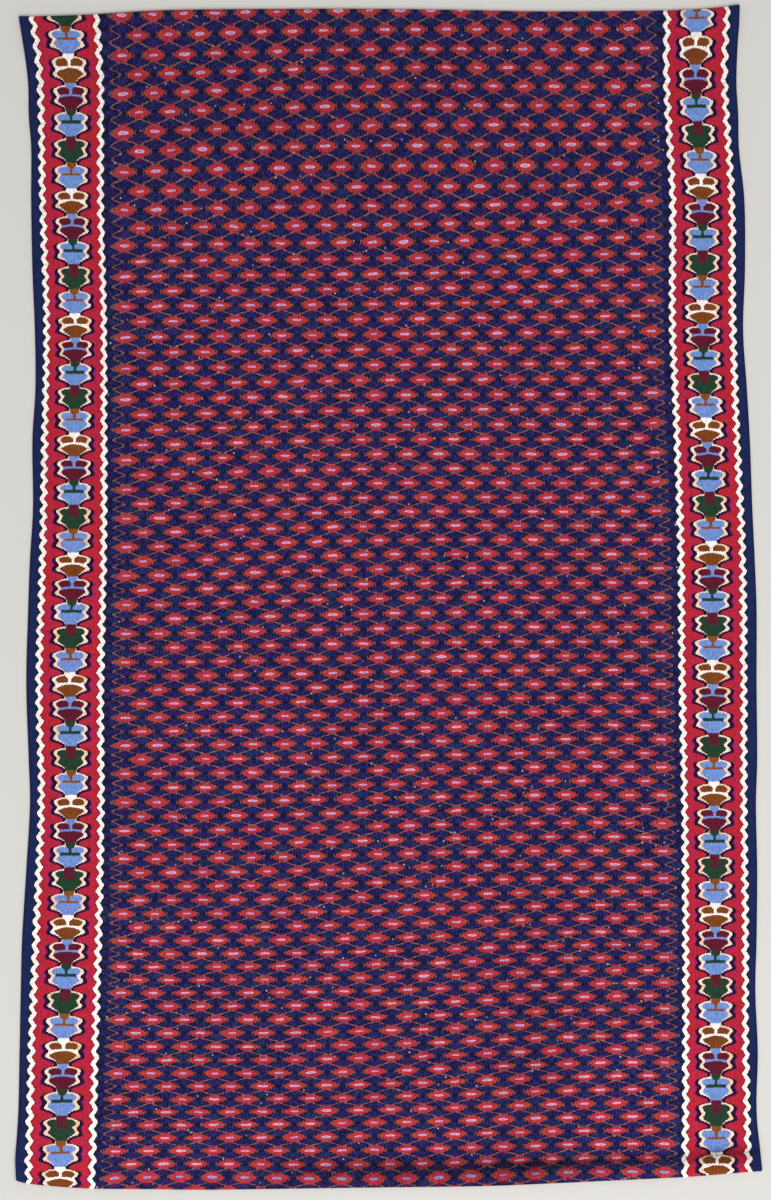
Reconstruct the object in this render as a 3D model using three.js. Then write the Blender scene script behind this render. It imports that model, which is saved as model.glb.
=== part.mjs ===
// A woven wool kilim lying flat, with both cut ends turned under as hems.
// Millimetres, +Z up. X runs across the cloth, Y along it, and the cloth lies on Z = 0.
// The near end is the one at -Y. The cloth is one solid: a thin slab whose rows follow the
// middle of the cloth's thickness round its two folds, then eased to the uneven outline
// and the soft swells in which the cloth lies.

import * as THREE from "three";

// Driving dimensions of the cloth
const CLOTH_THICKNESS = 3;
const NOMINAL_WIDTH = 1200;
const NOMINAL_LENGTH = 1930;
const HEM_DEPTH = 30;
const HEM_GAP = 0.4;
const HEM_RISE = 42;
const SELVEDGE_ROUNDING = 1.2;
const SELVEDGE_FULLNESS = 0.5;

// How finely the section and the width are divided
const LENGTH_STATIONS = 38;
const RISE_STATIONS = 4;
const FOLD_STATIONS = 5;
const WIDTH_STEPS = 24;

const CLOTH_COLOUR = 0x4a2340;
const CLOTH_ROUGHNESS = 0.95;

// Reach of each selvedge from the centre line, by the place along the cloth
const SELVEDGES = [
  { along: -959, left: 611, right: 613 },
  { along: -930, left: 613, right: 610 },
  { along: -841, left: 608, right: 602 },
  { along: -746, left: 606, right: 604 },
  { along: -644, left: 604, right: 600 },
  { along: -562, left: 602, right: 602 },
  { along: -447, left: 595, right: 603 },
  { along: -339, left: 589, right: 601 },
  { along: -267, left: 591, right: 603 },
  { along: -142, left: 595, right: 602 },
  { along: -21, left: 592, right: 602 },
  { along: 61, left: 589, right: 599 },
  { along: 146, left: 584, right: 595 },
  { along: 258, left: 585, right: 591 },
  { along: 343, left: 580, right: 586 },
  { along: 438, left: 581, right: 580 },
  { along: 537, left: 585, right: 583 },
  { along: 651, left: 587, right: 582 },
  { along: 737, left: 587, right: 573 },
  { along: 789, left: 591, right: 572 },
  { along: 842, left: 592, right: 569 },
  { along: 907, left: 600, right: 571 },
  { along: 950, left: 607, right: 574 },
];

// Reach of each folded end from the middle of the cloth, by the place across it
const ENDS = [
  { across: -600, far: 952, near: 956 },
  { across: -580, far: 952, near: 961 },
  { across: -530, far: 953, near: 966 },
  { across: -480, far: 955, near: 969 },
  { across: -380, far: 961, near: 970 },
  { across: -300, far: 963, near: 971 },
  { across: -150, far: 964, near: 969 },
  { across: 0, far: 964, near: 967 },
  { across: 150, far: 962, near: 965 },
  { across: 250, far: 960, near: 961 },
  { across: 330, far: 960, near: 957 },
  { across: 430, far: 961, near: 952 },
  { across: 490, far: 962, near: 949 },
  { across: 550, far: 965, near: 944 },
  { across: 600, far: 971, near: 940 },
];

// Soft swells where the cloth stands a little clear of the floor
const SWELLS = [
  { across: 415, along: -800, wide: 190, long: 300, lift: 4 },
  { across: 80, along: -700, wide: 150, long: 330, lift: 2.5 },
  { across: -270, along: -235, wide: 230, long: 190, lift: 3 },
  { across: -430, along: -640, wide: 150, long: 260, lift: 2 },
  { across: 390, along: 430, wide: 190, long: 240, lift: 2.5 },
  { across: -280, along: 540, wide: 200, long: 200, lift: 2 },
  { across: 160, along: 760, wide: 260, long: 150, lift: 2 },
];

// The value at a place on a smooth curve through a table's rows, level beyond its ends.
function softCurve(rows, station, column, at) {
  const last = rows.length - 1;
  if (at <= rows[0][station]) {
    return rows[0][column];
  }
  if (at >= rows[last][station]) {
    return rows[last][column];
  }
  const slope = (i) => {
    const before = rows[Math.max(i - 1, 0)];
    const after = rows[Math.min(i + 1, last)];
    return (after[column] - before[column]) / (after[station] - before[station]);
  };
  const next = rows.findIndex((row) => row[station] > at);
  const from = rows[next - 1];
  const to = rows[next];
  const span = to[station] - from[station];
  const t = (at - from[station]) / span;
  const rise = t * t * (3 - 2 * t);
  const leave = t * (1 - t) * (1 - t) * span * slope(next - 1);
  const arrive = t * t * (t - 1) * span * slope(next);
  return from[column] + rise * (to[column] - from[column]) + leave + arrive;
}

// Height of the swells at a place: each is a smooth dome that meets the floor level.
function swellHeight(across, along) {
  let height = 0;
  for (const swell of SWELLS) {
    const sideways = (across - swell.across) / swell.wide;
    const lengthways = (along - swell.along) / swell.long;
    const away = Math.min(Math.hypot(sideways, lengthways), 1);
    height += swell.lift * Math.cos((away * Math.PI) / 2) ** 2;
  }
  return height;
}

// The middle of the cloth's thickness along one end, from its level run out over the hem,
// round the fold and back to the hem's cut edge. Distances are from the middle of the
// cloth, so that the same run serves both ends.
function endRun() {
  const layerStep = CLOTH_THICKNESS + HEM_GAP;
  const lower = CLOTH_THICKNESS / 2;
  const foldRadius = layerStep / 2;
  const foldCentre = NOMINAL_LENGTH / 2 - foldRadius - CLOTH_THICKNESS / 2;
  const riseEnd = foldCentre - HEM_DEPTH;
  const run = [];
  for (let i = 0; i <= RISE_STATIONS; i += 1) {
    const t = i / RISE_STATIONS;
    run.push({ out: riseEnd - HEM_RISE * (1 - t), up: lower + layerStep * t * t * (3 - 2 * t) });
  }
  for (let i = 0; i <= FOLD_STATIONS; i += 1) {
    const turn = Math.PI * (0.5 - i / FOLD_STATIONS);
    run.push({
      out: foldCentre + foldRadius * Math.cos(turn),
      up: lower + foldRadius + foldRadius * Math.sin(turn),
    });
  }
  run.push({ out: foldCentre - HEM_DEPTH, up: lower });
  return run;
}

// The whole middle line, from the near hem's cut edge round the folds to the far one's.
function middleLine() {
  const end = endRun();
  const near = end.map(({ out, up }) => new THREE.Vector2(-out, up)).reverse();
  const far = end.map(({ out, up }) => new THREE.Vector2(out, up));
  const levelEnd = far[0].x;
  const level = [];
  for (let i = 1; i < LENGTH_STATIONS; i += 1) {
    const out = levelEnd * ((2 * i) / LENGTH_STATIONS - 1);
    level.push(new THREE.Vector2(out, CLOTH_THICKNESS / 2));
  }
  return [...near, ...level, ...far];
}

// The direction through the cloth's thickness at each station of the middle line.
function facing(line) {
  return line.map((point, i) => {
    const before = line[Math.max(i - 1, 0)];
    const after = line[Math.min(i + 1, line.length - 1)];
    const along = after.clone().sub(before).normalize();
    return new THREE.Vector2(-along.y, along.x);
  });
}

// Places across the cloth, with a narrow strip at each selvedge for its rounding, and the
// share of the cloth's thickness there.
function widthStations() {
  const reach = NOMINAL_WIDTH / 2;
  const inner = reach - SELVEDGE_ROUNDING;
  const stations = [{ across: -reach, fullness: SELVEDGE_FULLNESS }];
  for (let i = 0; i <= WIDTH_STEPS; i += 1) {
    stations.push({ across: inner * ((2 * i) / WIDTH_STEPS - 1), fullness: 1 });
  }
  stations.push({ across: reach, fullness: SELVEDGE_FULLNESS });
  return stations;
}

// A point of the straight sheet, eased to the cloth's outline and laid over its swells.
function layPoint(across, along, up) {
  const far = softCurve(ENDS, "across", "far", across);
  const near = softCurve(ENDS, "across", "near", across);
  const share = along / NOMINAL_LENGTH + 0.5;
  const laidAlong = far * share - near * (1 - share);
  const left = softCurve(SELVEDGES, "along", "left", laidAlong);
  const right = softCurve(SELVEDGES, "along", "right", laidAlong);
  const shareAcross = across / NOMINAL_WIDTH + 0.5;
  const laidAcross = right * shareAcross - left * (1 - shareAcross);
  return new THREE.Vector3(laidAcross, laidAlong, up + swellHeight(laidAcross, laidAlong));
}

// The sheet with its hems: a thin slab whose rows follow the middle line.
function clothGeometry() {
  const line = middleLine();
  const outward = facing(line);
  const stations = widthStations();
  const columns = stations.length - 1;
  const rows = line.length - 1;
  const geometry = new THREE.BoxGeometry(1, 1, 1, columns, rows, 1);
  const position = geometry.getAttribute("position");
  for (let i = 0; i < position.count; i += 1) {
    const { across, fullness } = stations[Math.round((position.getX(i) + 0.5) * columns)];
    const row = Math.round((position.getY(i) + 0.5) * rows);
    const offset = position.getZ(i) * CLOTH_THICKNESS * fullness;
    const section = line[row].clone().addScaledVector(outward[row], offset);
    position.setXYZ(i, ...layPoint(across, section.x, section.y).toArray());
  }
  geometry.computeBoundingBox();
  const centre = geometry.boundingBox.getCenter(new THREE.Vector3());
  geometry.translate(-centre.x, -centre.y, -geometry.boundingBox.min.z);
  geometry.computeVertexNormals();
  return geometry;
}

const woven = new THREE.MeshStandardMaterial({
  color: CLOTH_COLOUR,
  roughness: CLOTH_ROUGHNESS,
  metalness: 0,
});

const kilim = new THREE.Mesh(clothGeometry(), woven);
kilim.name = "kilim";

const part = new THREE.Group();
part.add(kilim);

export default part;
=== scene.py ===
"""A flat-woven wool kilim lying flat on a pale floor, seen from straight above.

Blender's own unit is the metre. Sizes here are in millimetres, as the weaver would give them,
and MM turns them into metres. X runs across the cloth, Y along it with the near end at -Y, and
the floor is at Z = 0. Rows of tulips, flowers and teeth are counted from the far end.
"""

from __future__ import annotations

import logging
import math
from dataclasses import dataclass, field
from enum import Enum
from functools import partial
from typing import Any, Callable, Iterable, Mapping, Sequence

import bpy
import numpy as np
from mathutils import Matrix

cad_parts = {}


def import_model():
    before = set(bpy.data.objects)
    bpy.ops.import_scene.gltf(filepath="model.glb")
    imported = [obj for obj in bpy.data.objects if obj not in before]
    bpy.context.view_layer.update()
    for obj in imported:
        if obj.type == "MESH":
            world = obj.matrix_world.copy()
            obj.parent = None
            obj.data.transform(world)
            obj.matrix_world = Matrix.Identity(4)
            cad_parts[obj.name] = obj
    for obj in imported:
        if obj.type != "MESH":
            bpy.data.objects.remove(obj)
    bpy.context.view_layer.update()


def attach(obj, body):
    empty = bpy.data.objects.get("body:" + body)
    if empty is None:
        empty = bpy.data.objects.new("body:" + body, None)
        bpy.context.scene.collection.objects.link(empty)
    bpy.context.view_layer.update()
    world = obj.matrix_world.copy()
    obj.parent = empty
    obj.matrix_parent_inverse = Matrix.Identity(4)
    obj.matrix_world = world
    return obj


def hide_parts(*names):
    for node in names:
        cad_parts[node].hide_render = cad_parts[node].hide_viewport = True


LOG = logging.getLogger("kilim")

MM = 0.001

# Kinds of node
MATH = "ShaderNodeMath"
VECTOR_MATH = "ShaderNodeVectorMath"
MIX = "ShaderNodeMix"
ATTRIBUTE = "ShaderNodeAttribute"
SEPARATE = "ShaderNodeSeparateXYZ"
COMBINE = "ShaderNodeCombineXYZ"
NOISE = "ShaderNodeTexNoise"
CHANCE = "ShaderNodeTexWhiteNoise"
CURVE = "ShaderNodeFloatCurve"
RAMP = "ShaderNodeValToRGB"
FADE = "ShaderNodeMapRange"

# A factor and a sum, for a value times the first plus the second
Scaling = tuple[float, float]

# Two values, and the strengths between which a thing fades from one to the other
Fade = tuple[float, float, float, float]

# The add_node function, bound to one tree
Adder = Callable[..., bpy.types.Node]

# Pairs of a place and a half width
Curve = tuple[tuple[float, float], ...]


def linear(colour: str) -> tuple[float, float, float, float]:
    """Turns an sRGB hex colour to a linear one.

    Args:
        colour: The colour as "#RRGGBB".

    Returns:
        Red, green and blue from 0 to 1 in linear light, and an alpha of 1.
    """
    parts = [int(colour[i:i + 2], 16) / 255 for i in (1, 3, 5)]
    light = [c / 12.92 if c <= 0.04045 else ((c + 0.055) / 1.055) ** 2.4 for c in parts]
    return (light[0], light[1], light[2], 1.0)


class Yarn(Enum):
    """The dyed wool yarns of the cloth, by the colour that each shows."""

    NAVY = "#182350"
    FIELD_NAVY = "#101850"
    INDIGO = "#302460"
    TEAL = "#153C5A"
    CRIMSON = "#AF2236"
    DEEP_RED = "#741024"
    MAGENTA = "#A3205E"
    CREAM = "#F9EAE3"
    PEACH = "#EBB58F"
    TAN = "#763E18"
    BURGUNDY = "#5A1529"
    SKY = "#6C8AC6"
    BOTTLE = "#1F3B2A"
    RUST = "#84481F"
    INK = "#170B1A"
    AUBERGINE = "#2D0F45"
    GREEN_BLACK = "#0F2428"
    NECK = "#150D26"
    WINE = "#5E1230"
    FLOWER = "#B42840"
    FLAME = "#9A4228"
    OUTLINE = "#8E5E60"
    LILAC = "#928CBC"
    BLUSH = "#D6A4BE"
    BEIGE = "#CBA892"

    @property
    def light(self) -> tuple[float, float, float, float]:
        """The yarn's colour in linear light."""
        return linear(self.value)


class Holding(Enum):
    """How a sheet of cloth is held."""

    LAID = "laid"


@dataclass(frozen=True)
class Chart:
    """Named columns of values at rising stations, read along smooth curves.

    Attributes:
        stations: The places at which the columns are known, rising.
        columns: A tuple of values for each name, one for each station.
        runs_on: Whether a curve goes straight on beyond its ends, or stays level there.
    """

    stations: tuple[float, ...]
    columns: Mapping[str, tuple[float, ...]]
    runs_on: bool = False

    def read(self, column: str, at: np.ndarray) -> np.ndarray:
        """Reads one column at many places.

        Between two stations the curve is a cubic whose slope at each station is the rise
        between that station's two neighbours over their distance.

        Args:
            column: The name of the column.
            at: The places.

        Returns:
            The column's value at each place.
        """
        x = np.asarray(self.stations, dtype=float)
        y = np.asarray(self.columns[column], dtype=float)
        slope = np.empty_like(y)
        slope[1:-1] = (y[2:] - y[:-2]) / (x[2:] - x[:-2])
        slope[0] = (y[1] - y[0]) / (x[1] - x[0])
        slope[-1] = (y[-1] - y[-2]) / (x[-1] - x[-2])
        place = np.clip(at, x[0], x[-1])
        i = np.clip(np.searchsorted(x, place, side="right") - 1, 0, len(x) - 2)
        span = x[i + 1] - x[i]
        t = (place - x[i]) / span
        rise = t * t * (3 - 2 * t)
        leave = t * (1 - t) ** 2 * span * slope[i]
        arrive = t * t * (t - 1) * span * slope[i + 1]
        value = y[i] + rise * (y[i + 1] - y[i]) + leave + arrive
        if not self.runs_on:
            return value
        end_slope = np.where(at > x[-1], slope[-1], slope[0])
        return value + (at - place) * end_slope


# Reach of each selvedge from the centre line, by the place along the cloth
SELVEDGES = Chart(
    stations=(-959, -930, -841, -746, -644, -562, -447, -339, -267, -142, -21, 61,
              146, 258, 343, 438, 537, 651, 737, 789, 842, 907, 950),
    columns={
        "left": (611, 613, 608, 606, 604, 602, 595, 589, 591, 595, 592, 589,
                 584, 585, 580, 581, 585, 587, 587, 591, 592, 600, 607),
        "right": (613, 610, 602, 604, 600, 602, 603, 601, 603, 602, 602, 599,
                  595, 591, 586, 580, 583, 582, 573, 572, 569, 571, 574),
    },
)

# Reach of each folded end from the middle of the cloth, by the place across it
ENDS = Chart(
    stations=(-600, -580, -530, -480, -380, -300, -150, 0, 150, 250, 330, 430, 490, 550, 600),
    columns={
        "far": (952, 952, 953, 955, 961, 963, 964, 964, 962, 960, 960, 961, 962, 965, 971),
        "near": (956, 961, 966, 969, 970, 971, 969, 967, 965, 961, 957, 952, 949, 944, 940),
    },
)

# Distance of the zigzags from the centre line, by the place along the cloth
ZIGZAGS = Chart(
    stations=(-964, -907, -726, -529, -333, -136, 61, 258, 455, 651, 848, 960),
    columns={
        "left_outer": (591, 590.5, 586, 578, 570.5, 574, 568.5, 565, 562, 568.5, 572.5, 585.5),
        "left_inner": (487.5, 486, 481.5, 475.5, 472.5, 473, 468.5, 467.5, 468, 473, 473.5, 480.5),
        "right_outer": (589.5, 587.5, 584, 583.5, 581, 581, 579, 570, 562.5, 561, 549.5, 553),
        "right_inner": (484, 484.5, 485.5, 485.5, 483.5, 479.5, 478, 471.5, 463.5, 464, 454, 454.5),
    },
    runs_on=True,
)

# Count of tulips from the far end's first white link, by the place along the cloth
TULIPS_LEFT = Chart(
    stations=(-964, -933, -723, -521, -324, -123, 73, 270, 465, 670, 843, 891, 935),
    columns={"count": (45.8, 45, 40, 35, 30, 25, 20, 15, 10, 5, 1, 0, -1)},
    runs_on=True,
)
TULIPS_RIGHT = Chart(
    stations=(-943, -909, -698, -501, -302, -103, 92, 294, 487, 694, 825, 873, 925, 968),
    columns={"count": (45.8, 45, 40, 35, 30, 25, 20, 15, 10, 5, 2, 1, 0, -1)},
    runs_on=True,
)

# Places across the cloth at which the rows and columns of flowers are counted
COUNTED_AT = {"far_left": -440.0, "left": -220.0, "middle": 0.0, "right": 220.0, "far_right": 440.0}

# Count of rows of flowers, by the place along the cloth
ROWS = Chart(
    stations=(-964, -880, -780, -660, -540, -400, -250, -100, 50, 200, 340, 460,
              570, 660, 740, 820, 900, 955),
    columns={
        "far_left": (79.6, 75.7, 71.0, 65.55, 59.95, 53.75, 47.3, 40.7, 34.35, 28.0, 22.35,
                     17.65, 13.2, 10.15, 7.65, 5.15, 2.6, 0.95),
        "left": (79.6, 75.75, 71.0, 65.55, 60.0, 53.85, 47.4, 40.85, 34.6, 28.25, 22.5,
                 17.75, 13.35, 10.3, 7.9, 5.4, 2.8, 1.1),
        "middle": (79.5, 75.9, 71.2, 65.75, 60.2, 54.1, 47.55, 41.05, 34.85, 28.45, 22.65,
                   17.85, 13.45, 10.4, 8.0, 5.55, 2.95, 1.2),
        "right": (79.85, 76.15, 71.6, 66.1, 60.5, 54.3, 47.75, 41.15, 34.9, 28.45, 22.7,
                  17.95, 13.6, 10.45, 8.05, 5.55, 2.95, 1.25),
        "far_right": (80.0, 76.35, 71.85, 66.35, 60.65, 54.3, 47.75, 41.15, 34.9, 28.55, 22.8,
                      18.05, 13.75, 10.65, 8.15, 5.6, 3.0, 1.3),
    },
    runs_on=True,
)

# Count of columns of flowers from the middle one, by the place along the cloth
COLUMNS = Chart(
    stations=(-964, -780, -560, -330, -100, 130, 360, 590, 780, 955),
    columns={
        "far_left": (-16.6, -16.85, -17.1, -17.25, -17.3, -17.35, -17.3, -17.25, -17.15, -17.05),
        "left": (-8.35, -8.5, -8.65, -8.85, -8.95, -9.0, -8.8, -8.65, -8.55, -8.4),
        "middle": (-0.05, -0.1, -0.2, -0.3, -0.35, -0.3, -0.05, 0.1, 0.2, 0.3),
        "right": (8.25, 8.25, 8.2, 8.3, 8.3, 8.4, 8.65, 8.8, 8.95, 9.1),
        "far_right": (16.6, 16.6, 16.6, 16.75, 16.85, 17.05, 17.4, 17.5, 17.7, 17.95),
    },
    runs_on=True,
)


@dataclass(frozen=True)
class Swell:
    """A smooth dome where the cloth stands a little clear of the floor.

    Attributes:
        across: Its middle's place across the cloth.
        along: Its middle's place along it.
        wide: Its reach across.
        long: Its reach along.
        lift: Its height in the middle.
    """

    across: float
    along: float
    wide: float
    long: float
    lift: float

    def height(self, across: np.ndarray, along: np.ndarray) -> np.ndarray:
        """Height at each place: the lift times the squared cosine of the way to the rim."""
        away = np.hypot((across - self.across) / self.wide, (along - self.along) / self.long)
        return self.lift * np.cos(np.minimum(away, 1) * math.pi / 2) ** 2


# Where the cloth stands clear of the floor: across, along, wide, long, lift
SWELLS = tuple(Swell(*row) for row in (
    (415, -800, 190, 300, 4),
    (80, -700, 150, 330, 2.5),
    (-270, -235, 230, 190, 3),
    (-430, -640, 150, 260, 2),
    (390, 430, 190, 240, 2.5),
    (-280, 540, 200, 200, 2),
    (160, 760, 260, 150, 2),
))

# Soft patches painted paler or darker into the wool's colour, as painted light and shade over the
# swells and ends: the narrow dark bands are painted shade in the crease before the near hem, the
# narrow bright ones after them a painted highlight on its fold; across, along, wide, long, lift,
# where lift is the change
PAINTED_LIGHT_AND_SHADE = tuple(Swell(*row) for row in (
    (0, 900, 760, 420, -0.10),
    (-390, 860, 230, 260, -0.06),
    (225, -700, 110, 420, -0.12),
    (-10, -240, 170, 60, -0.07),
    (400, -830, 170, 190, 0.12),
    (-260, -235, 200, 160, 0.09),
    (300, 10, 130, 130, -0.08),
    (-430, -640, 180, 330, 0.07),
    (60, -900, 200, 120, 0.06),
    (60, -938, 380, 32, -0.60),
    (410, -930, 330, 24, -0.85),
    (560, -914, 110, 22, -0.65),
    (-390, -920, 330, 110, 0.14),
    (400, -954, 280, 22, 0.28),
    (545, -941, 110, 18, 0.45),
))


def add_node(
    tree: bpy.types.NodeTree,
    kind: str,
    inputs: Sequence[Any] | Mapping[Any, Any] = (),
    **settings: Any,
) -> bpy.types.Node:
    """Adds a node with its settings and links.

    Args:
        tree: The tree that the node goes in.
        kind: Blender's name for the kind of node, or a math node's operation in capitals.
        inputs: What each input gets, in order or by its number or name: a node, which gives
            its first live output, a socket, or a value.
        **settings: The node's own properties.

    Returns:
        The node.
    """
    if kind.isupper():
        settings["operation"] = kind
        kind = MATH
    node = tree.nodes.new(kind)
    for name, value in settings.items():
        setattr(node, name, value)
    pairs: Iterable[tuple[Any, Any]]
    pairs = inputs.items() if isinstance(inputs, Mapping) else enumerate(inputs)
    for key, source in pairs:
        if isinstance(source, bpy.types.Node):
            source = next(socket for socket in source.outputs if socket.enabled)
        if isinstance(source, bpy.types.NodeSocket):
            tree.links.new(source, node.inputs[key])
        else:
            node.inputs[key].default_value = source
    return node


def in_turn(add: Adder, value: Any, *steps: tuple[Any, ...]) -> Any:
    """Passes a value through math nodes one after the other.

    Args:
        add: Adds a node to the material.
        value: The first node's first input.
        *steps: For each node, its operation and its inputs after the first.

    Returns:
        The last node.
    """
    for operation, *others in steps:
        value = add(operation, (value, *others))
    return value


def product(add: Adder, first: Any, *factors: Any) -> Any:
    """Multiplies masks and strengths, each a node or a number."""
    return in_turn(add, first, *(("MULTIPLY", factor) for factor in factors))


def lay_yarns(add: Adder, ground: Any, layers: Iterable[tuple[Any, Any]]) -> Any:
    """Lays colours over a ground, each where its mask is 1.

    Args:
        add: Adds a node to the material.
        ground: The colour under them all, as a node or a yarn.
        layers: Pairs of a mask and a colour, from the lowest to the topmost.

    Returns:
        The node that gives the finished colour.
    """
    colour = ground.light if isinstance(ground, Yarn) else ground
    for mask, over in layers:
        over = over.light if isinstance(over, Yarn) else over
        colour = add(MIX, {0: mask, 6: colour, 7: over}, data_type="RGBA")
    return colour


@dataclass(frozen=True)
class Threads:
    """What every drawing reads: the place in the pattern and the yarn's unevenness.

    Attributes:
        first: Count along one slant of the flower lattice.
        second: Count along the other slant.
        side: Place across a border: 0 on its tulips, 1 on the outer zigzag, -1 on the inner.
        turn: Count of tulips.
        edge: Distance from the nearer selvedge in millimetres.
        ribs: Count of ribs.
        step: -0.5 and 0.5 on ribs by turns, because a colour ends on every other warp first.
        fleck: 0 to 1, new for each few millimetres of yarn.
        cloud: 0 to 1, changing softly over some centimetres.
        tone: The painted light and shade, soft lighter and darker patches, about 0.
    """

    first: Any
    second: Any
    side: Any
    turn: Any
    edge: Any
    ribs: Any
    step: Any
    fleck: Any
    cloud: Any
    tone: Any


@dataclass(frozen=True)
class FlowerField:
    """The field: small red flowers and navy ovals, packed like beads on strings.

    Flowers stand where both slanting counts are whole. Down each column a flower is followed
    by two ovals, and the next column is shifted by half a bead. From a flower, a is the
    distance sideways in columns and b the distance lengthwise in rows of flowers. A field
    that ends in fade says where a yarn comes in and how strongly.

    Attributes:
        reach: Half width of a flower.
        half_height: Half height of the lowest flower.
        height_spread: How much more the tallest one has.
        shoulder: Power of b in a flower's outline.
        last_growth: How much more half height that row has.
        eye_reach: Half width of a middling eye.
        eye_height: Half height of one, as a share of its flower's.
        eye_size: Spread of the eyes' size, and the least size.
        tooth: How much further a colour's edge lies on every other rib.
        slant: Slope of the thin outline.
        stroke: Half thickness of the outline.
        uprights: Distance sideways, half height and strength of the upright strokes at a
            flower's tips, and of those at its feet.
        strength: Spread of the outline's strength, and the least strength.
        notch: Half width of the wine at a flower's top and foot, and how far out it goes.
        streak: Spread of the flecks of rust in a flower, and the shift that centres them.
        lots: Most that one oval's dye lot differs.
    """

    reach: float = 0.72
    half_height: float = 0.25
    height_spread: float = 0.09
    shoulder: float = 1.4
    last_column: int = 17
    last_row: int = 79
    last_growth: float = 0.10
    last_blue: float = 0.7
    oval_reach: float = 0.52
    oval_height: float = 0.23
    eye_reach: float = 0.31
    eye_height: float = 0.26
    eye_size: Scaling = (0.7, 0.55)
    tooth: float = 0.045
    slant: float = 0.4
    stroke: float = 0.042
    uprights: tuple[tuple[float, float, float], ...] = ((0.76, 0.14, 0.6), (0.21, 0.45, 1.0))
    strength: Scaling = (0.6, 0.3)
    swings: tuple[tuple[float, float], ...] = ((1.0, 0.07), (3.0, 0.28))
    last_stroke: float = 0.10
    last_strength: float = 0.8
    notch: tuple[float, float] = (0.21, 1.7)
    streak: Scaling = (1.2, -0.60)
    lots: float = 0.4
    rim_fade: Fade = (0.60, 1.05, 0.0, 0.9)
    tip_fade: Fade = (0.36, 0.62, 0.0, 1.0)
    pupil_fade: Fade = (0.10, 0.60, 1.0, 0.0)
    speck_fade: Fade = (0.998, 1.0, 0.0, 0.9)
    neck_fade: Fade = (0.8, 1.2, 0.0, 0.85)
    violet_fade: Fade = (0.5, 1.0, 0.0, 0.9)
    green_fade: Fade = (0.5, 0.7, 0.0, 0.5)
    black_fade: Fade = (0.0, 0.4, 0.9, 0.0)

    def offsets(self, add: Adder, first: Any, second: Any) -> tuple[Any, Any, Any]:
        """Finds the way from the nearest whole pair of slanting counts.

        Args:
            add: Adds a node to the material.
            first: The first slanting count.
            second: The second slanting count.

        Returns:
            The nodes that give the way sideways, the way lengthwise and a random colour of
            that pair.
        """
        near_first, near_second = (add("ROUND", (count,)) for count in (first, second))
        off_first = add("SUBTRACT", (first, near_first))
        off_second = add("SUBTRACT", (second, near_second))
        across = add("ADD", (off_first, off_second))
        along = add("SUBTRACT", (off_first, off_second))
        pair = add(COMBINE, (near_first, near_second, 0.0))
        chance = add(CHANCE, (pair,), noise_dimensions="3D")
        return across, along, add(SEPARATE, (chance.outputs["Color"],))

    def oval(self, add: Adder, first: Any, second: Any) -> tuple[Any, Any]:
        """Finds how far out in its bead a place lies.

        Bead centres stand where 2 first - second and 2 second - first are whole, so that there
        are three to a row of flowers.

        Args:
            add: Adds a node to the material.
            first: The first slanting count.
            second: The second slanting count.

        Returns:
            The node that gives 0 at the bead's middle and 1 at the oval's edge, and the
            bead's random colour.
        """
        bead_first, bead_second = (
            add("SUBTRACT", (add("MULTIPLY", (count, 2.0)), other))
            for count, other in ((first, second), (second, first))
        )
        across, along, lots = self.offsets(add, bead_first, bead_second)
        wide = add("DIVIDE", (across, self.oval_reach))
        high = add("DIVIDE", (along, 3.0 * self.oval_height))
        out = add("MULTIPLY", (wide, wide))
        return add("MULTIPLY_ADD", (high, high, out)), lots

    def outline(self, add: Adder, a: Any, b: Any) -> Any:
        """Finds the thin light lines round the beads.

        A line runs from each flower's foot to the next column's: it lies where b is 0.5 plus
        the slant times a - 0.5. Short upright strokes stand at a flower's two tips and at its
        four feet.

        Args:
            add: Adds a node to the material.
            a: The distance sideways from the nearest flower.
            b: The distance lengthwise from it.

        Returns:
            The node that gives 1 on a line, less on a tip's stroke, and 0 elsewhere.
        """
        rise = add("MULTIPLY_ADD", (a, -self.slant, b))
        lines = add("COMPARE", (rise, 0.5 - 0.5 * self.slant, self.stroke))
        for at, height, strength in self.uprights:
            mark = add("COMPARE", (a, at, self.stroke))
            short = add("LESS_THAN", (b, height))
            lines = add("MAXIMUM", (lines, product(add, mark, short, strength)))
        return lines

    def past_last(self, add: Adder, threads: Threads) -> Any:
        """Says how far a place lies past the last string of beads.

        The string's edge is half a column past its flowers, less each of its two swings times
        cos(n pi r), where n is the swing's beat and r the count of rows.

        Args:
            add: Adds a node to the material.
            threads: The places and the yarn's unevenness.

        Returns:
            The node that gives the distance past the edge, in columns.
        """
        past = in_turn(add, threads.first, ("ADD", threads.second), ("ABSOLUTE",))
        row = add("SUBTRACT", (threads.first, threads.second))
        for beats, swing in self.swings:
            past = in_turn(add, row, ("MULTIPLY", beats * math.pi), ("COSINE",),
                           ("MULTIPLY_ADD", swing, past))
        return add("SUBTRACT", (past, self.last_column + 0.5))

    def draw(self, add: Adder, threads: Threads) -> Any:
        """Draws the lattice.

        A flower is where (a / reach) squared plus (b / height) to the power of shoulder is
        below 1.

        Args:
            add: Adds a node to the material.
            threads: The places and the yarn's unevenness.

        Returns:
            The node that gives the field's colour.
        """
        slip = add("MULTIPLY", (threads.step, self.tooth))
        first = add("ADD", (threads.first, slip))
        second = add("SUBTRACT", (threads.second, slip))
        across, along, lots = self.offsets(add, first, second)
        a = add("ABSOLUTE", (across,))
        out, bead_lots = self.oval(add, first, second)

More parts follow.
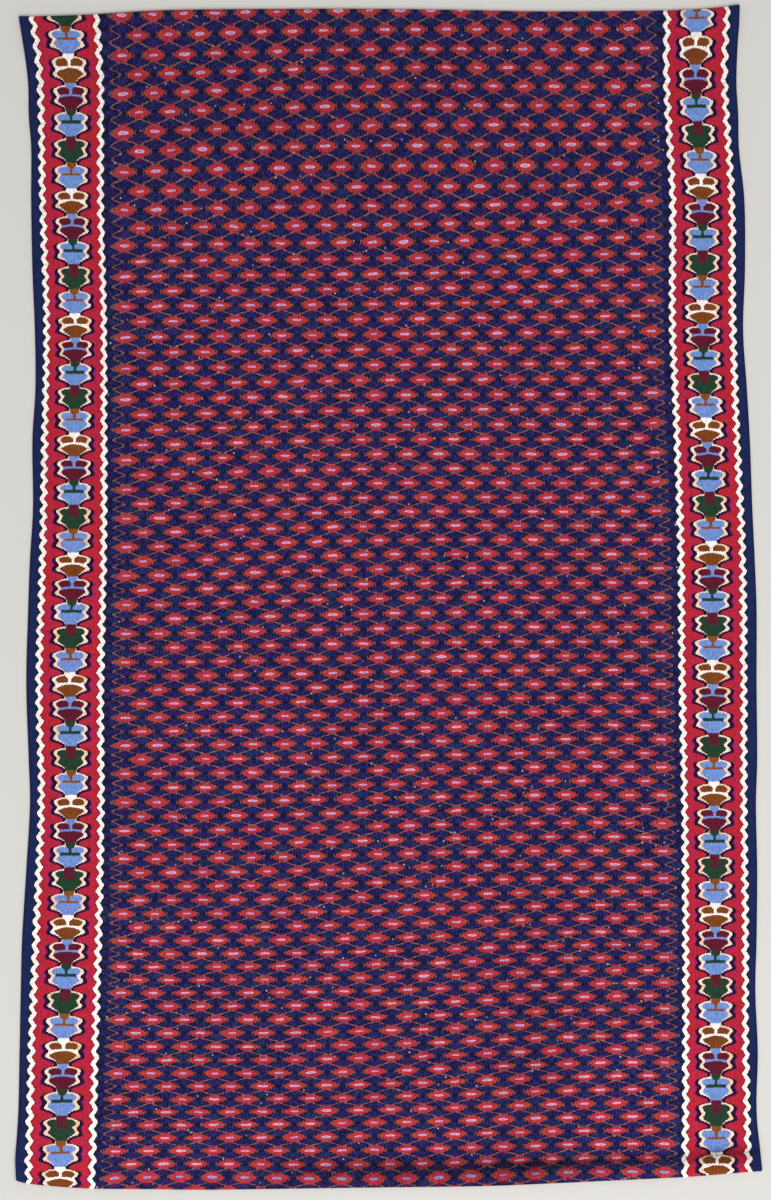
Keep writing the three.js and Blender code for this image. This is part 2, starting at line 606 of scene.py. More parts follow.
        # Each flower has its own small difference in height and in its eye, and those of the
        # last row at the near end are taller, with blue eyes
        tall = add("MULTIPLY_ADD", (lots.outputs["X"], self.height_spread, self.half_height))
        at_end = in_turn(add, first, ("SUBTRACT", second), ("SUBTRACT", along),
                         ("COMPARE", float(self.last_row), 0.5))
        tall = add("MULTIPLY_ADD", (at_end, self.last_growth, tall))
        away = add("DIVIDE", (a, self.reach))
        up = in_turn(add, along, ("ABSOLUTE",), ("DIVIDE", tall), ("POWER", self.shoulder))
        spread = add("MULTIPLY_ADD", (away, away, up))
        inside = add("LESS_THAN", (spread, 1.0))
        rim = add(FADE, (spread, *self.rim_fade))
        tip = add(FADE, (a, *self.tip_fade))
        warm = add("MAXIMUM", (rim, tip))
        streak = add("MULTIPLY_ADD", (threads.fleck, *self.streak))
        flame = add("ADD", (warm, streak), use_clamp=True)
        petal = lay_yarns(add, Yarn.FLOWER, [(flame, Yarn.FLAME)])

        # The pale eye, bluer in its middle
        eye_up = add("MULTIPLY_ADD", (threads.step, -2.0 * self.tooth, along))
        eye_b = add("MULTIPLY", (tall, self.eye_height))
        eye_b = add("DIVIDE", (eye_up, eye_b))
        eye_a = add("DIVIDE", (across, self.eye_reach))
        eye_aa = add("MULTIPLY", (eye_a, eye_a))
        eye_sum = add("MULTIPLY_ADD", (eye_b, eye_b, eye_aa))
        eye_size = add("MULTIPLY_ADD", (lots.outputs["Y"], *self.eye_size))
        eye = add("LESS_THAN", (eye_sum, eye_size))
        pupil = add(FADE, (eye_sum, *self.pupil_fade))
        blue = product(add, at_end, self.last_blue)
        iris = lay_yarns(add, Yarn.BLUSH, [(pupil, Yarn.LILAC), (blue, Yarn.SKY)])

        # Thin outline, uneven in strength, pale specks, and wine at a flower's top and foot
        line_b = add("ABSOLUTE", (eye_up,))
        line = self.outline(add, a, line_b)
        strong = add("MULTIPLY_ADD", (threads.fleck, *self.strength))
        middle, notch = (add("LESS_THAN", pair) for pair in zip((a, spread), self.notch))

        # No flowers past the last column, and the last string's outline ends the others
        whole = in_turn(add, first, ("ADD", second), ("SUBTRACT", across), ("ABSOLUTE",),
                        ("LESS_THAN", self.last_column + 0.5))
        past = self.past_last(add, threads)
        lined = add("LESS_THAN", (past, 0.0))
        last_line = add("COMPARE", (past, 0.0, self.last_stroke))
        last_line = product(add, last_line, strong, self.last_strength)
        line = add("MAXIMUM", (product(add, line, strong, lined), last_line))

        # The ovals' mixture of dye lots, and the darker ground round them
        return lay_yarns(add, Yarn.FIELD_NAVY, [
            (add(FADE, (threads.fleck, *self.violet_fade)), Yarn.INDIGO),
            (add(FADE, (threads.cloud, *self.green_fade)), Yarn.TEAL),
            (product(add, bead_lots.outputs["X"], self.lots), Yarn.INDIGO),
            (add(FADE, (threads.fleck, *self.black_fade)), Yarn.INK),
            (add(FADE, (out, *self.neck_fade)), Yarn.NECK),
            (product(add, notch, middle, whole), Yarn.WINE),
            (line, Yarn.OUTLINE),
            (add(FADE, (threads.fleck, *self.speck_fade)), Yarn.BEIGE),
            (product(add, inside, whole), petal),
            (product(add, eye, whole), iris),
        ])


@dataclass(frozen=True)
class TulipBorder:
    """A side border: a chain of tulips on crimson between two cream zigzags.

    Half widths are in shares of the distance from the tulips to a zigzag, about 49 mm, and
    places along one tulip run from 0 at the top of its link to 1 at the foot of its cup.

    Attributes:
        stroke: Half thickness of a zigzag.
        swing: How far a zigzag's middle line swings either way.
        notch: How far beyond that line the plain selvedge or the field begins.
        teeth: Teeth of a zigzag to a tulip.
        tooth: How much further a colour's edge lies on every other rib.
        dark_chart: Half width of the dark outline along a tulip; the other charts are those
            of the pale rim, of the petals and cup, and of the link with its stem.
        arc_at: Place of the arc between petals and cup.
        arcs: How much the arc falls outwards, its half width, how much thicker it grows
            outwards and half its middle's thickness, in turn down the chain.
        wide_turn: The green tulip's place in the round.
        wide_link: Half width and length of its link.
        wing: How far beyond the rim the dark outline turns to aubergine.
        waist_at: Middle of the magenta patches, sideways and along.
        waist_scale: How quickly they end, sideways and along.
        shade_reach: How far in from a zigzag the crimson is deeper.
    """

    stroke: float = 0.075
    swing: float = 0.068
    notch: float = 0.12
    teeth: float = 2.0
    tooth: float = 0.018
    dark_chart: Curve = (
        (0.0, 0.28), (0.07, 0.30), (0.11, 0.40), (0.16, 0.54), (0.21, 0.64), (0.30, 0.70),
        (0.38, 0.68), (0.50, 0.62), (0.58, 0.65), (0.68, 0.69), (0.78, 0.69), (0.83, 0.60),
        (0.88, 0.47), (0.94, 0.35), (1.0, 0.28),
    )
    cream_chart: Curve = (
        (0.0, 0.18), (0.09, 0.19), (0.12, 0.34), (0.17, 0.46), (0.23, 0.55), (0.31, 0.57),
        (0.38, 0.54), (0.48, 0.46), (0.55, 0.47), (0.63, 0.53), (0.70, 0.56), (0.76, 0.51),
        (0.81, 0.39), (0.87, 0.28), (0.94, 0.20), (1.0, 0.17),
    )
    body_chart: Curve = (
        (0.0, 0.0), (0.14, 0.0), (0.17, 0.33), (0.23, 0.43), (0.30, 0.46), (0.37, 0.44),
        (0.47, 0.34), (0.55, 0.38), (0.63, 0.43), (0.70, 0.42), (0.77, 0.35), (0.83, 0.28),
        (0.90, 0.21), (1.0, 0.17),
    )
    link_chart: Curve = (
        (0.0, 0.165), (0.11, 0.165), (0.18, 0.12), (0.25, 0.045), (0.46, 0.05), (0.47, 0.0),
        (1.0, 0.0),
    )
    body_yarns: tuple[Yarn, ...] = (Yarn.TAN, Yarn.BURGUNDY, Yarn.SKY, Yarn.BOTTLE, Yarn.SKY)
    link_yarns: tuple[Yarn, ...] = (Yarn.CREAM, Yarn.SKY, Yarn.BOTTLE, Yarn.BURGUNDY, Yarn.RUST)
    arc_at: float = 0.455
    arcs: tuple[tuple[float, float, float, float], ...] = (
        (0.50, 0.46, 0.30, 0.034), (0.35, 0.38, 0.12, 0.034), (0.02, 0.33, 0.0, 0.065),
        (0.0, 0.15, 0.0, 0.034), (0.02, 0.30, 0.0, 0.045),
    )
    wide_turn: float = 0.7
    wide_link: tuple[float, float] = (0.18, 0.50)
    mixed_fade: Fade = (0.1, 0.6, 0.2, 1.0)
    wing: float = 0.08
    waist_at: tuple[float, float] = (0.70, 0.50)
    waist_scale: tuple[float, float] = (7.5, 7.0)
    waist_fade: Fade = (0.2, 1.0, 0.45, 0.0)
    shade_reach: float = 0.05
    shade: float = 0.55
    peach_fade: Fade = (0.35, 0.65, 0.25, 0.95)

    def half_width(self, add: Adder, place: Any, chart: Curve) -> bpy.types.Node:
        """Reads a chart of half widths by the place along a tulip.

        Args:
            add: Adds a node to the material.
            place: The place along the tulip, from 0 to 1.
            chart: Pairs of a place and a half width.

        Returns:
            The node that gives the half width.
        """
        node = add(CURVE, (1.0, place))
        points = node.mapping.curves[0].points
        while len(points) < len(chart):
            points.new(0.5, 0.5)
        for point, at in zip(points, chart):
            point.location = at
            point.handle_type = "VECTOR"
        node.mapping.update()
        return node

    def by_turn(self, add: Adder, turn: Any, values: Sequence[Any]) -> bpy.types.Node:
        """Picks a row of values, in turn down the chain.

        Args:
            add: Adds a node to the material.
            turn: 0 to 1 over the round of tulips.
            values: Four numbers for each tulip of the round.

        Returns:
            The node that gives the numbers of the tulip there, as a colour.
        """
        node = add(RAMP, (turn,))
        ramp = node.color_ramp
        ramp.interpolation = "CONSTANT"
        while len(ramp.elements) < len(values):
            ramp.elements.new(0.99)
        for index in range(len(values)):
            ramp.elements[index].position = index / len(values)
        for element, value in zip(ramp.elements, values):
            element.color = value
        return node

    def arc(self, add: Adder, a: Any, place: Any, turn: Any) -> bpy.types.Node:
        """Finds the arc between petals and cup.

        It is the parabola arc_at + bend times a squared, and grows thicker outwards.

        Args:
            add: Adds a node to the material.
            a: The distance sideways from the tulips' middle.
            place: The place along the tulip.
            turn: 0 to 1 over the round of tulips.

        Returns:
            The node that gives 1 on the arc and 0 elsewhere.
        """
        pick = self.by_turn(add, turn, self.arcs)
        value = add(SEPARATE, (pick,))
        aa = add("MULTIPLY", (a, a))
        middle = add("MULTIPLY_ADD", (aa, value.outputs["X"], self.arc_at))
        thick = add("MULTIPLY_ADD", (aa, value.outputs["Z"], pick.outputs["Alpha"]))
        on_arc = in_turn(add, place, ("SUBTRACT", middle), ("ABSOLUTE",), ("LESS_THAN", thick))
        near = add("LESS_THAN", (a, value.outputs["Y"]))
        return add("MULTIPLY", (on_arc, near))

    def draw(self, add: Adder, threads: Threads) -> Any:
        """Draws the chain, its ground and the zigzags.

        A zigzag is a triangle wave about 1.

        Args:
            add: Adds a node to the material.
            threads: The places and the yarn's unevenness.

        Returns:
            The node that gives the border's colour.
        """
        slip = add("MULTIPLY_ADD", (threads.step, self.tooth, threads.turn))
        place = add("FRACT", (slip,))
        turn = in_turn(add, slip, ("FLOOR",), ("ADD", 0.5),
                       ("MULTIPLY", 1.0 / len(self.body_yarns)), ("FRACT",))
        a = add("ABSOLUTE", (threads.side,))

        widths = [
            self.half_width(add, place, chart)
            for chart in (self.dark_chart, self.cream_chart, self.body_chart, self.link_chart)
        ]
        dark, cream, body, link = (add("LESS_THAN", (a, width)) for width in widths)
        wing = in_turn(add, a, ("SUBTRACT", widths[1]), ("GREATER_THAN", self.wing))
        body_yarn, link_yarn = (
            self.by_turn(add, turn, [yarn.light for yarn in yarns])
            for yarns in (self.body_yarns, self.link_yarns)
        )
        arc = self.arc(add, a, place, turn)

        # The green tulip's link stays wide down to its cup, and its yarn is mixed with green
        wide = add("COMPARE", (turn, self.wide_turn, 0.05))
        mixed = add(FADE, (threads.fleck, *self.mixed_fade))
        within, above = (add("LESS_THAN", pair) for pair in zip((a, place), self.wide_link))
        wide = product(add, wide, mixed, within, above)

        # Magenta in the crimson beside each tulip's waist
        waist = 0.0
        for distance, middle, scale in zip((a, place), self.waist_at, self.waist_scale):
            off = in_turn(add, distance, ("SUBTRACT", middle), ("MULTIPLY", scale))
            waist = add("MULTIPLY_ADD", (off, off, waist))
        magenta = add(FADE, (waist, *self.waist_fade))

        # The zigzag: how far a place lies beyond its middle line
        beat = in_turn(add, slip, ("MULTIPLY", self.teeth), ("PINGPONG", 0.5),
                       ("MULTIPLY_ADD", 4.0 * self.swing, 1.0 - self.swing))
        out = add("SUBTRACT", (a, beat))
        zigzag = in_turn(add, out, ("ABSOLUTE",), ("LESS_THAN", self.stroke))
        beyond = add("GREATER_THAN", (out, 0.0))
        shade = add("GREATER_THAN", (out, -self.stroke - self.shade_reach))

        crimson = lay_yarns(add, Yarn.CRIMSON, [
            (magenta, Yarn.MAGENTA),
            (product(add, shade, self.shade), Yarn.DEEP_RED),
        ])
        peach = add(FADE, (threads.cloud, *self.peach_fade))
        return lay_yarns(add, crimson, [
            (dark, lay_yarns(add, Yarn.INK, [(wing, Yarn.AUBERGINE)])),
            (cream, lay_yarns(add, Yarn.CREAM, [(peach, Yarn.PEACH)])),
            (body, body_yarn),
            (link, link_yarn),
            (arc, link_yarn),
            (wide, link_yarn),
            (beyond, Yarn.GREEN_BLACK),
            (zigzag, Yarn.CREAM),
        ])


@dataclass(frozen=True)
class WovenWool:
    """Weft-faced plain weave in dyed wool, beaten down hard so that the warp doesn't show.

    The eye sees fine ribs along the cloth, one over each warp, matt and slightly hairy, with
    a little more light and dark in each yarn than one even dye would give.

    Attributes:
        weft_pitch: Distance of the weft's turns over a rib. The real ones lie 1 mm apart, and
            2.4 mm is as fine as they can be and still show.
        wander: How far a drawn edge strays, in shares of the lattice and of a tulip.
        wander_scale: How close together an edge's strays are, to a metre.
        cloud_scale: How close together the soft patches are, to a metre.
        fleck_value: Spread of the flecks' brightness, and the least.
        cloud_value: Spread of the soft patches' brightness, and the shift that centres it.
        painted_groove_shade: Painted shade in the grooves between ribs: how much brighter a
        rib is than its groove, and the groove's brightness.
        hue: Spread of the soft patches' hue, and the least, where 0.5 leaves a colour alone.
        rim_fade: How the selvedge darkens at its very edge, over millimetres.
        roughness: Spread of the wool's roughness, and the least.
        bump: Height of a rib over the groove beside it.
        fleck_height: Height of a fleck, as a share of a rib's.
        sheen: Strength and roughness of the hairs' soft shine.
    """

    rib_pitch: float = 2.3
    weft_pitch: float = 2.4
    wander: tuple[float, float] = (0.10, 0.06)
    wander_scale: float = 85.0
    cloud_scale: float = 26.0
    fleck_value: Scaling = (0.40, 0.78)
    cloud_value: Scaling = (0.16, -0.08)
    painted_groove_shade: Scaling = (0.44, 0.70)
    hue: Scaling = (0.03, 0.485)
    rim_fade: Fade = (0.5, 5.0, 0.55, 0.0)
    roughness: Scaling = (0.08, 0.90)
    bump: float = 0.7
    bump_strength: float = 0.7
    fleck_height: float = 0.35
    gloss: float = 0.06
    sheen: tuple[float, float] = (0.03, 0.6)
    flowers: FlowerField = field(default_factory=FlowerField)
    border: TulipBorder = field(default_factory=TulipBorder)

    def threads(self, add: Adder) -> Threads:
        """Reads the cloth's attributes and adds the weaver's small strays.

        Args:
            add: Adds a node to the material.

        Returns:
            What the drawings read.
        """
        lattice, border, weave = (
            add(ATTRIBUTE, attribute_name=name).outputs["Vector"]
            for name in ("lattice", "border", "weave")
        )
        place = add("ShaderNodeTexCoord").outputs["Object"]
        stray = add(NOISE, {"Vector": place, "Scale": self.wander_scale, "Detail": 1.0})
        stray = add(VECTOR_MATH, (stray.outputs["Color"], (0.5, 0.5, 0.5)),
                    operation="SUBTRACT")
        slants, sides = (
            add(SEPARATE, (add(VECTOR_MATH, (stray, (far, far, 0.0), straight),
                               operation="MULTIPLY_ADD"),))
            for far, straight in zip(self.wander, (lattice, border))
        )
        counts = add(SEPARATE, (weave,))
        rib, weft = (add("FLOOR", (counts.outputs[axis],)) for axis in "XY")
        step = in_turn(add, rib, ("MODULO", 2.0), ("SUBTRACT", 0.5))
        pick = add(COMBINE, (rib, weft, 0.0))
        fleck = add(CHANCE, (pick,), noise_dimensions="2D")
        cloud = add(NOISE, {"Vector": place, "Scale": self.cloud_scale, "Detail": 2.0})
        return Threads(
            first=slants.outputs["X"],
            second=slants.outputs["Y"],
            side=sides.outputs["X"],
            turn=sides.outputs["Y"],
            edge=sides.outputs["Z"],
            ribs=counts.outputs["X"],
            step=step,
            fleck=fleck,
            cloud=cloud,
            # Painted light and shade from the patches, not the yarn's own colour
            tone=slants.outputs["Z"],
        )

    def material(self) -> bpy.types.Material:
        """Makes the wool's material, with its pattern, yarn unevenness and ribs.

        Returns:
            The material.
        """
        material = bpy.data.materials.new("woven_wool")
        material.use_nodes = True
        tree = material.node_tree
        add = partial(add_node, tree)
        threads = self.threads(add)

        # Border between the notch lines, plain selvedge outside it, field inside it
        limit = 1.0 + self.border.notch
        in_field = add("LESS_THAN", (threads.side, -limit))
        in_selvedge = add("GREATER_THAN", (threads.side, limit))
        rim = add(FADE, (threads.edge, *self.rim_fade))
        colour = lay_yarns(add, self.border.draw(add, threads), [
            (in_field, self.flowers.draw(add, threads)),
            (in_selvedge, lay_yarns(add, Yarn.NAVY, [(rim, Yarn.INK)])),
        ])

        # Uneven dye per pick and per patch, painted shade in the grooves between ribs, and painted
        # light and shade in soft patches over the whole cloth
        ridge = in_turn(add, threads.ribs, ("MULTIPLY", math.pi), ("SINE",), ("ABSOLUTE",))
        # Painted shade: each rib's groove is darkened in colour, on top of the bump's real grooves
        painted_groove_shade = add("MULTIPLY_ADD", (ridge, *self.painted_groove_shade))
        patch = add("MULTIPLY_ADD", (threads.cloud, *self.cloud_value))
        value = in_turn(add, threads.fleck, ("MULTIPLY_ADD", *self.fleck_value),
                        ("ADD", patch), ("ADD", threads.tone), ("MULTIPLY", painted_groove_shade))
        hue = add("MULTIPLY_ADD", (threads.cloud, *self.hue))
        dyed = add("ShaderNodeHueSaturation", (hue, 1.0, value, 1.0, colour))
        rough = add("MULTIPLY_ADD", (threads.fleck, *self.roughness))
        height = add("MULTIPLY_ADD", (threads.fleck, self.fleck_height, ridge))
        bump = add("ShaderNodeBump", {
            "Strength": self.bump_strength,
            "Distance": self.bump * MM,
            "Height": height,
        })

        shader = tree.nodes["Principled BSDF"]
        for name, source in (("Base Color", dyed), ("Roughness", rough), ("Normal", bump)):
            tree.links.new(source.outputs[0], shader.inputs[name])
        shader.inputs["Specular IOR Level"].default_value = self.gloss
        shader.inputs["Sheen Weight"].default_value = self.sheen[0]
        shader.inputs["Sheen Roughness"].default_value = self.sheen[1]
        return material


@dataclass
class Kilim:
    """The cloth: one woven sheet with rounded, ribbed selvedges and both ends turned under.

    Attributes:
        width: Width of the straight sheet, before it is eased to the outline.
        length: Length of the straight sheet between its folds.
        hem_depth: How far each end is turned under.
        hem_gap: Air between a hem and the cloth over it.
        hem_rise: Length over which the cloth rises onto its hem.
        selvedge: Width of the ribbed selvedge.
        selvedge_ribs: Number of lengthwise ribs in it.
        selvedge_lift: Height of those ribs.
        level_steps: Number of rows between the hems; the other steps are counted likewise.
        edge_fullness: Least share of the thickness, at a selvedge's very edge.
        ripple: Height of the small unevenness all over.
        ripples: For its wave across the cloth and for that along it, the length of a radian,
            the sway, and the length of a radian of the sway.
    """

    thickness: float = 3.0
    width: float = 1200.0
    length: float = 1930.0
    hem_depth: float = 30.0
    hem_gap: float = 0.4
    hem_rise: float = 42.0
    selvedge: float = 18.0
    selvedge_ribs: int = 4
    selvedge_lift: float = 0.45
    edge_fullness: float = 0.3
    ripple: float = 0.3
    ripples: tuple[tuple[float, float, float], ...] = ((31.0, 1.3, 87.0), (43.0, 1.1, 71.0))
    level_steps: int = 170
    rise_steps: int = 8
    fold_steps: int = 8
    hem_steps: int = 4
    width_steps: int = 150
    selvedge_steps: int = 18
    edge_steps: int = 4
    finish: WovenWool = field(default_factory=WovenWool)

    def end_run(self) -> np.ndarray:
        """The middle of the thickness along one end.

        It rises along a smooth step over the hem, turns a half circle, and comes back level
        to the hem's cut edge.

        Returns:
            Rows of distance from the middle of the cloth and height.
        """
        step = self.thickness + self.hem_gap
        lower = self.thickness / 2
        radius = step / 2
        centre = self.length / 2 - radius - self.thickness / 2
        t = np.linspace(0, 1, self.rise_steps + 1)
        rise_out = centre - self.hem_depth - self.hem_rise * (1 - t)
        rise = np.stack([rise_out, lower + step * t * t * (3 - 2 * t)], axis=1)
        turn = math.pi * (0.5 - np.linspace(0, 1, self.fold_steps + 1))
        fold = np.stack([centre + radius * np.cos(turn),
                         lower + radius + radius * np.sin(turn)], axis=1)
        hem_out = centre - self.hem_depth * np.linspace(0, 1, self.hem_steps + 1)[1:]
        hem = np.stack([hem_out, np.full_like(hem_out, lower)], axis=1)
        return np.concatenate([rise, fold, hem])

    def middle_line(self) -> np.ndarray:
        """The whole middle line, from the near hem's cut edge to the far one's.

        Returns:
            Rows of place along the cloth and height.
        """
        far = self.end_run()
        near = far[::-1] * (-1, 1)
        level = np.linspace(near[-1, 0], far[0, 0], self.level_steps + 1)[1:-1]
        middle = np.stack([level, np.full_like(level, self.thickness / 2)], axis=1)
        return np.concatenate([near, middle, far])

    def width_stations(self) -> tuple[np.ndarray, np.ndarray, np.ndarray]:
        """Places across the cloth, with close ones in the selvedges.

        Returns:
            The places, the share of the thickness at each, which ends in a half circle, and
            the height of the selvedge's ribs there, half a sine wave for each rib.
        """
        reach = self.width / 2
        inward = np.concatenate([
            self.thickness / 2 * (1 - np.cos(np.linspace(0, math.pi / 2, self.edge_steps + 1))),
            np.linspace(self.thickness / 2, self.selvedge, self.selvedge_steps + 1)[1:],
        ])
        middle = np.linspace(-reach + self.selvedge, reach - self.selvedge, self.width_steps + 1)
        across = np.concatenate([-reach + inward[:-1], middle, (reach - inward[:-1])[::-1]])
        depth = reach - np.abs(across)
        round_off = np.clip(depth / (self.thickness / 2), 0, 1)
        fullness = np.maximum(np.sqrt(1 - (1 - round_off) ** 2), self.edge_fullness)
        wave = np.abs(np.sin(depth / self.selvedge * self.selvedge_ribs * math.pi))
        ribs = np.where(depth < self.selvedge, self.selvedge_lift * wave * round_off, 0.0)
        return across, fullness, ribs

    def lay(self, across: np.ndarray, along: np.ndarray) -> tuple[np.ndarray, np.ndarray]:
        """Eases places of the straight sheet to the cloth's uneven outline.

        Args:
            across: Places across the straight sheet.
            along: Places along it.

        Returns:
            The places across and along the cloth as it lies.
        """
        share = along / self.length + 0.5
        laid_along = ENDS.read("far", across) * share - ENDS.read("near", across) * (1 - share)
        share = across / self.width + 0.5
        right = SELVEDGES.read("right", laid_along)
        left = SELVEDGES.read("left", laid_along)
        return right * share - left * (1 - share), laid_along

    def unevenness(self, across: np.ndarray, along: np.ndarray) -> np.ndarray:
        """Height of the swells and of the small ripples between them.

        The ripples are half of 2 plus two crossing sine waves, so that none goes below 0.

        Args:
            across: Places across the cloth.
            along: Places along it.

        Returns:
            The height at each place.
        """
        height = sum(swell.height(across, along) for swell in SWELLS)
        ways = zip(self.ripples, (across, along), (along, across))
        waves = sum(np.sin(there / far + sway * np.sin(other / sway_far))
                    for (far, sway, sway_far), there, other in ways)
        return height + self.ripple * (2 + waves) / 4

    def pattern(self, across: np.ndarray, along: np.ndarray) -> dict[str, np.ndarray]:
        """Works out where each place of the straight sheet lies in the pattern.

        Rows and columns of flowers are read at five places across and joined by the curve of
        fourth degree through them.

        Args:
            across: Places across the straight sheet.
            along: Places along it, running on round the folds.

        Returns:
            For each attribute, three numbers a place: the lattice's two slanting counts and the
            painted light and shade, the place across a border, the tulip count and the distance
            from the selvedge, and the counts of ribs and wefts.
        """
        x, y = self.lay(across, along)
        rows, columns = np.zeros_like(x), np.zeros_like(x)
        for name, here in COUNTED_AT.items():
            others = [place for place in COUNTED_AT.values() if place != here]
            share = math.prod((x - place) / (here - place) for place in others)
            rows += share * ROWS.read(name, y)
            columns += share * COLUMNS.read(name, y)
        on_left = across < 0
        outer = np.where(on_left, ZIGZAGS.read("left_outer", y), ZIGZAGS.read("right_outer", y))
        inner = np.where(on_left, ZIGZAGS.read("left_inner", y), ZIGZAGS.read("right_inner", y))
        side = (np.abs(x) - (outer + inner) / 2) / ((outer - inner) / 2)
        turn = np.where(on_left, TULIPS_LEFT.read("count", y), TULIPS_RIGHT.read("count", y))
        reach = np.where(on_left, SELVEDGES.read("left", y), SELVEDGES.read("right", y))
        ribs = (across + self.width / 2) / self.finish.rib_pitch
        wefts = y / self.finish.weft_pitch
        # Painted light and shade, carried to the wool in the lattice's third number
        tone = sum(shade.height(x, y) for shade in PAINTED_LIGHT_AND_SHADE)
        return {
            "lattice": np.stack([(columns + rows) / 2, (columns - rows) / 2, tone], axis=-1),
            "border": np.stack([side, turn, reach - np.abs(x)], axis=-1),
            "weave": np.stack([ribs, wefts, np.zeros_like(x)], axis=-1),
        }

    def build(self) -> bpy.types.Object:
        """Builds the sheet as two facing grids that follow the middle line, joined all round.

        Returns:
            The cloth.
        """
        line = self.middle_line()
        tangent = np.empty_like(line)
        tangent[1:-1] = line[2:] - line[:-2]
        tangent[0] = line[1] - line[0]
        tangent[-1] = line[-1] - line[-2]
        tangent /= np.linalg.norm(tangent, axis=1, keepdims=True)
        through = np.stack([-tangent[:, 1], tangent[:, 0]], axis=1)
        across, fullness, ribs = self.width_stations()
        rows, columns = len(line), len(across)

        sheets = []
        for depth in (fullness * self.thickness / 2 + ribs, -fullness * self.thickness / 2):
            section = line[:, None, :] + through[:, None, :] * depth[None, :, None]
            wide = np.broadcast_to(across, (rows, columns))
            x, y = self.lay(wide, section[..., 0])
            z = section[..., 1] + self.unevenness(x, y)
            sheets.append(np.stack([x, y, z], axis=-1).reshape(-1, 3))
        points = np.concatenate(sheets)
        middle = (points.min(axis=0) + points.max(axis=0)) / 2
        points -= (middle[0], middle[1], points[:, 2].min())

        index = np.arange(rows * columns).reshape(rows, columns)
        under = index + rows * columns
        faces = np.concatenate([
            self.quads(index[:-1, :-1], index[:-1, 1:], index[1:, 1:], index[1:, :-1]),
            self.quads(under[:-1, :-1], under[1:, :-1], under[1:, 1:], under[:-1, 1:]),
            self.quads(index[:-1, 0], index[1:, 0], under[1:, 0], under[:-1, 0]),
            self.quads(index[:-1, -1], under[:-1, -1], under[1:, -1], index[1:, -1]),
            self.quads(index[0, :-1], under[0, :-1], under[0, 1:], index[0, 1:]),
            self.quads(index[-1, :-1], index[-1, 1:], under[-1, 1:], under[-1, :-1]),
        ])
        mesh = bpy.data.meshes.new("kilim_cloth")
        mesh.from_pydata((points * MM).tolist(), [], faces.tolist())
        mesh.polygons.foreach_set("use_smooth", np.ones(len(faces), dtype=bool))

        # The pattern runs on round the folds: a place along it is measured on the middle line
        run = np.concatenate([[0], np.cumsum(np.linalg.norm(np.diff(line, axis=0), axis=1))])
        run -= run[-1] / 2
        wide, long = np.broadcast_arrays(across[None, :], run[:, None])
        for name, values in self.pattern(wide, long).items():
            both = np.concatenate([values.reshape(-1, 3)] * 2).astype(np.float32)
            attribute = mesh.attributes.new(name, "FLOAT_VECTOR", "POINT")
            attribute.data.foreach_set("vector", both.ravel())
        mesh.update()
        cloth = bpy.data.objects.new("kilim_cloth", mesh)
        bpy.context.scene.collection.objects.link(cloth)
        return cloth

    @staticmethod
    def quads(*corners: np.ndarray) -> np.ndarray:
        """Four grids of point numbers as rows of four corners."""
        return np.stack([corner.ravel() for corner in corners], axis=1)

    def dress(self, cloth: bpy.types.Object) -> None:
        """Gives the cloth its finish and its place in the frame.

        Args:
            cloth: The cloth.
        """
        cloth.data.materials.append(self.finish.material())
        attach(cloth, "root")
        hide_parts("kilim")


@dataclass(frozen=True)
class PalePaint:
    """Matt emulsion paint, rolled: even and pale, with no gloss."""

    colour: str = "#C9C6C0"
    roughness: float = 0.9

    def material(self) -> bpy.types.Material:
        """Makes the paint's material.

        Returns:
            The material.
        """
        material = bpy.data.materials.new("pale_floor")
        material.use_nodes = True
        shader = material.node_tree.nodes["Principled BSDF"]
        shader.inputs["Base Color"].default_value = linear(self.colour)
        shader.inputs["Roughness"].default_value = self.roughness
        return material


@dataclass
class Floor:
    """A plain floor under the cloth.

    Attributes:
        reach: Half its side.
        drop: How far below the cloth's lowest point it lies.
    """

    reach: float = 6000.0
    drop: float = 0.2
    finish: PalePaint = field(default_factory=PalePaint)

    def build(self) -> bpy.types.Object:
        """Builds the floor as one square face.

        Returns:
            The floor.
        """
        r, z = self.reach * MM, -self.drop * MM
        mesh = bpy.data.meshes.new("floor")
        mesh.from_pydata([(-r, -r, z), (r, -r, z), (r, r, z), (-r, r, z)], [], [(0, 1, 2, 3)])
        floor = bpy.data.objects.new("floor", mesh)
        bpy.context.scene.collection.objects.link(floor)
        floor.data.materials.append(self.finish.material())
        return floor


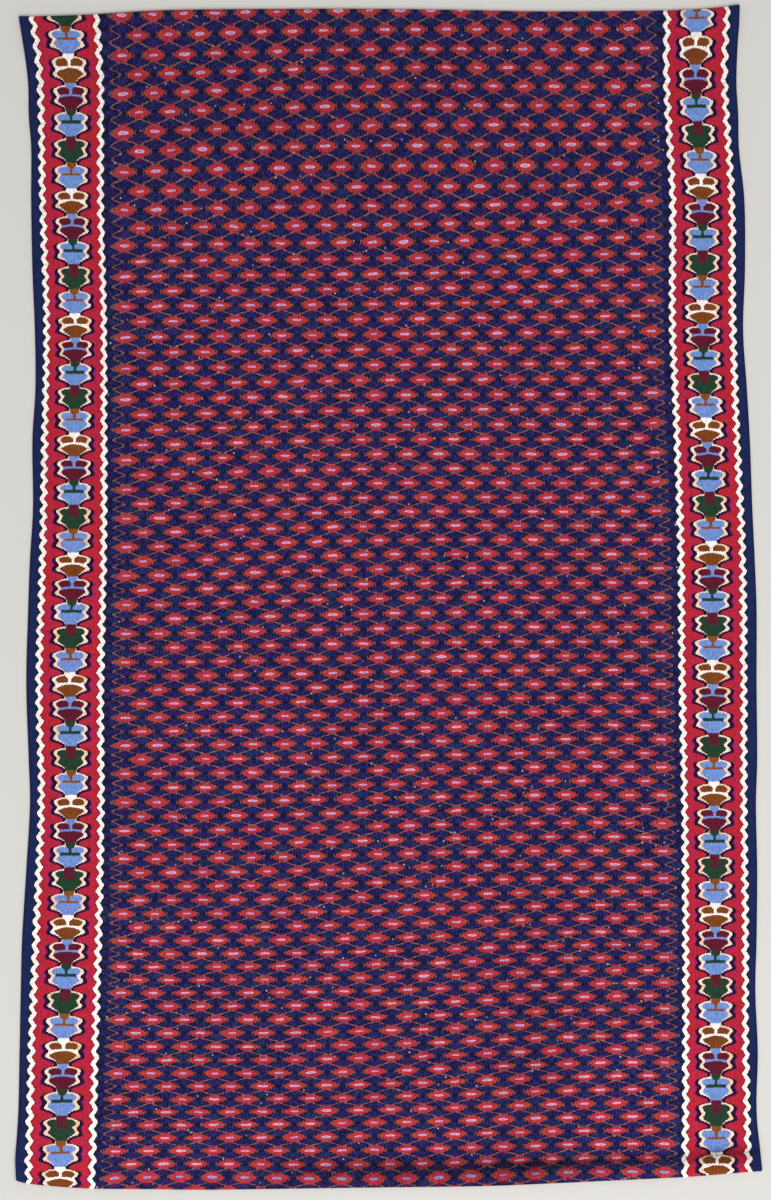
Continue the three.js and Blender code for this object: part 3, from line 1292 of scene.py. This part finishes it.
@dataclass
class Studio:
    """Soft light: an even sky and one broad lamp from the near side.

    Attributes:
        lamp_size: Side of the lamp, in metres.
        lamp_place: Place of the lamp, in metres; it faces the middle of the cloth.
    """

    sky: float = 0.62
    sky_colour: str = "#F4F6FA"
    lamp_watts: float = 220.0
    lamp_size: float = 4.0
    lamp_place: tuple[float, float, float] = (0.7, -1.9, 4.6)

    def build(self) -> None:
        """Sets up the sky, the lamp and the way in which brightness is shown."""
        scene = bpy.context.scene
        scene.view_settings.view_transform = "Standard"
        world = scene.world or bpy.data.worlds.new("sky")
        scene.world = world
        world.use_nodes = True
        sky = world.node_tree.nodes["Background"]
        sky.inputs["Color"].default_value = linear(self.sky_colour)
        sky.inputs["Strength"].default_value = self.sky
        lamp = bpy.data.lights.new("broad_lamp", "AREA")
        lamp.shape = "SQUARE"
        lamp.size = self.lamp_size
        lamp.energy = self.lamp_watts
        holder = bpy.data.objects.new("broad_lamp", lamp)
        holder.location = self.lamp_place
        x, y, z = self.lamp_place
        holder.rotation_euler = (-math.atan2(y, z), math.atan2(x, math.hypot(y, z)), 0)
        scene.collection.objects.link(holder)


@dataclass
class Viewpoint:
    """The photograph's viewing angle: straight down on the middle of the cloth.

    Attributes:
        over: The place under the camera.
        seen_length: Length of floor that fills the picture's long side.
        far_limit: How far it sees, in metres.
    """

    over: tuple[float, float] = (-5.2, -4.6)
    height: float = 4400.0
    seen_length: float = 1968.0
    sensor: float = 36.0
    far_limit: float = 100.0

    def build(self) -> bpy.types.Object:
        """Sets up the camera.

        Returns:
            The camera.
        """
        camera = bpy.data.cameras.new("camera")
        camera.sensor_width = self.sensor
        camera.lens = self.sensor * self.height / self.seen_length
        camera.clip_end = self.far_limit
        holder = bpy.data.objects.new("camera", camera)
        holder.location = (self.over[0] * MM, self.over[1] * MM, self.height * MM)
        bpy.context.scene.collection.objects.link(holder)
        bpy.context.scene.camera = holder
        return holder


def main() -> None:
    """Imports the model, and builds the cloth and its plain surroundings."""
    logging.basicConfig(level=logging.INFO, format="%(message)s")
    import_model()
    kilim = Kilim()
    cloth = kilim.build()
    kilim.dress(cloth)
    LOG.info("%s: %d faces", cloth.name, len(cloth.data.polygons))
    floor = Floor().build()
    LOG.info("%s: %.0f m across", floor.name, floor.dimensions.x)
    Studio().build()
    camera = Viewpoint().build()
    LOG.info("%s: %.1f m up", camera.name, camera.location.z)


if __name__ == "__main__":
    main()
